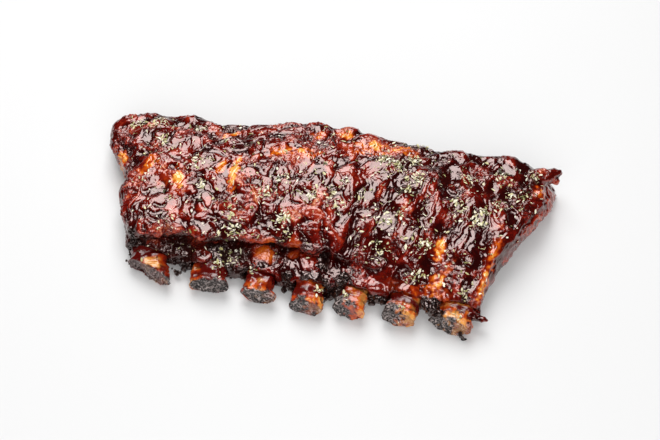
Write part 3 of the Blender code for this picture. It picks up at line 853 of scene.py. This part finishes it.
def driedHerbFlakes(trees):  # broken leaves, each a thin closed sliver lying on what is under it
    looks = herbLooks
    draw = random.Random(5)
    spread = []
    for across, back, size, count in herbClusters:
        spread += [(*rackPoint(across, back), size)] * round(looks["crowding"] * count)
    for count in range(looks["scattered"]):
        place = rackPoint(draw.uniform(*looks["scatteredAcross"]), draw.uniform(*looks["scatteredBack"]))
        spread.append((*place, looks["scatteredSpread"]))
    sides = len(looks["outline"])
    half = looks["thickness"] / 2
    corners, faces, tints = [], [], []
    for x, y, size in spread:
        stray = size * mm * looks["spread"]
        start = Vector((draw.gauss(x, stray), draw.gauss(y, stray), cadBox[1].z + looks["dropHeight"]))
        hits = [tree.ray_cast(start, Vector((0, 0, -1))) for tree in trees]
        hits = [hit for hit in hits if hit[0] is not None]
        yaw, tipped = draw.uniform(0, math.tau), draw.gauss(0, looks["tilt"])
        length = draw.triangular(*looks["length"]) * mm
        width = length * draw.uniform(*looks["slimness"])
        tint = draw.random() ** looks["lightness"]
        curl = draw.uniform(-1, 1) * looks["curl"]
        if not hits:
            continue
        place, normal = min(hits, key=lambda hit: hit[3])[:2]
        turn = normal.to_track_quat("Z", "Y").to_matrix()
        turn = turn @ Matrix.Rotation(yaw, 3, "Z") @ Matrix.Rotation(tipped, 3, "Y")
        ring = [Vector((u * length, v * width, curl * length * (4 * u * u - 1))) for u, v in looks["outline"]]
        middles = [Vector((0, 0, half - curl * length)), Vector((0, 0, -half - curl * length))]
        first = len(corners)
        over, under = first + sides, first + sides + 1
        corners += [place + normal * looks["lift"] + turn @ corner for corner in ring + middles]
        for n in range(sides):
            a, b = first + n, first + (n + 1) % sides
            faces += [(a, b, over), (b, a, under)]
        tints += [tint] * (sides + 2)
    mesh = bpy.data.meshes.new("driedHerbs")
    mesh.from_pydata(corners, [], faces)
    piece = addObject("driedHerbs", mesh)
    placeSkin(mesh, np.array(corners), tint=np.array(tints))
    dress(piece, driedHerbs(), None)
    mesh.shade_flat()
    print("herb flakes:", len(tints) // (sides + 2))


def table():
    bpy.ops.mesh.primitive_plane_add(size=tableLooks["size"], location=(0, 0, cadBox[0].z))
    floor = bpy.context.object
    floor.name = "paleTable"
    floor.data.materials.append(paleTable())


def outwards(azimuth, elevation):  # a direction from the rack, both in degrees, azimuth from +Y towards +X
    a, e = math.radians(azimuth), math.radians(elevation)
    return Vector((math.sin(a) * math.cos(e), math.cos(a) * math.cos(e), math.sin(e)))


studio = {
    "softboxes": {  # azimuth, elevation, distance, width, depth, power, whether it shows in reflections
        "keySoftbox": (-20, 60, 1.2, 0.8, 1.15, 16.5, True),
        "fillSoftbox": (150, 75, 1.6, 1.6, 1.6, 3.5, False),
        "frontSoftbox": (172, 30, 1.4, 1.4, 0.9, 12, False),
        "glintSoftbox": (150, 60, 1.2, 0.3, 0.3, 1.8, True),
    },
    "skyTone": "#ffffff", "sky": 0.02,
}


def lights():
    for name, (azimuth, elevation, distance, width, depth, power, gloss) in studio["softboxes"].items():
        lamp = bpy.data.lights.new(name, "AREA")
        lamp.shape = "RECTANGLE"
        lamp.size, lamp.size_y = width, depth
        lamp.energy = power
        made = addObject(name, lamp)
        made.visible_glossy = gloss
        offset = outwards(azimuth, elevation)
        made.location = offset * distance
        made.rotation_mode = "QUATERNION"
        made.rotation_quaternion = offset.to_track_quat("Z", "Y")
    world = bpy.data.worlds.new("paleRoom")
    bpy.context.scene.world = world
    world.use_nodes = True
    background = world.node_tree.nodes["Background"]
    background.inputs["Color"].default_value = tone(studio["skyTone"])
    background.inputs["Strength"].default_value = studio["sky"]
    bpy.context.scene.view_settings.view_transform = "Standard"


camera = {
    "azimuth": 170, "elevation": 50, "distance": 0.8, "lens": 85, "aim": (6.4 * mm, -1.1 * mm, 13.2 * mm),
}


def placeCamera():
    lens = bpy.data.cameras.new("camera")
    lens.lens = camera["lens"]
    made = addObject("camera", lens)
    away = outwards(camera["azimuth"], camera["elevation"])
    made.location = Vector(camera["aim"]) + away * camera["distance"]
    made.rotation_mode = "QUATERNION"
    made.rotation_quaternion = away.to_track_quat("Z", "Y")
    bpy.context.scene.camera = made


meat = glazedMeat()
bone = charredBone()
ribs = [ribBone(name, bone) for name in ribNames]
print("bones done")
charredCrumbs(meat.data.materials[0])
graph = bpy.context.evaluated_depsgraph_get()
driedHerbFlakes([BVHTree.FromObject(piece, graph) for piece in (meat, *ribs)])
table()
lights()
placeCamera()
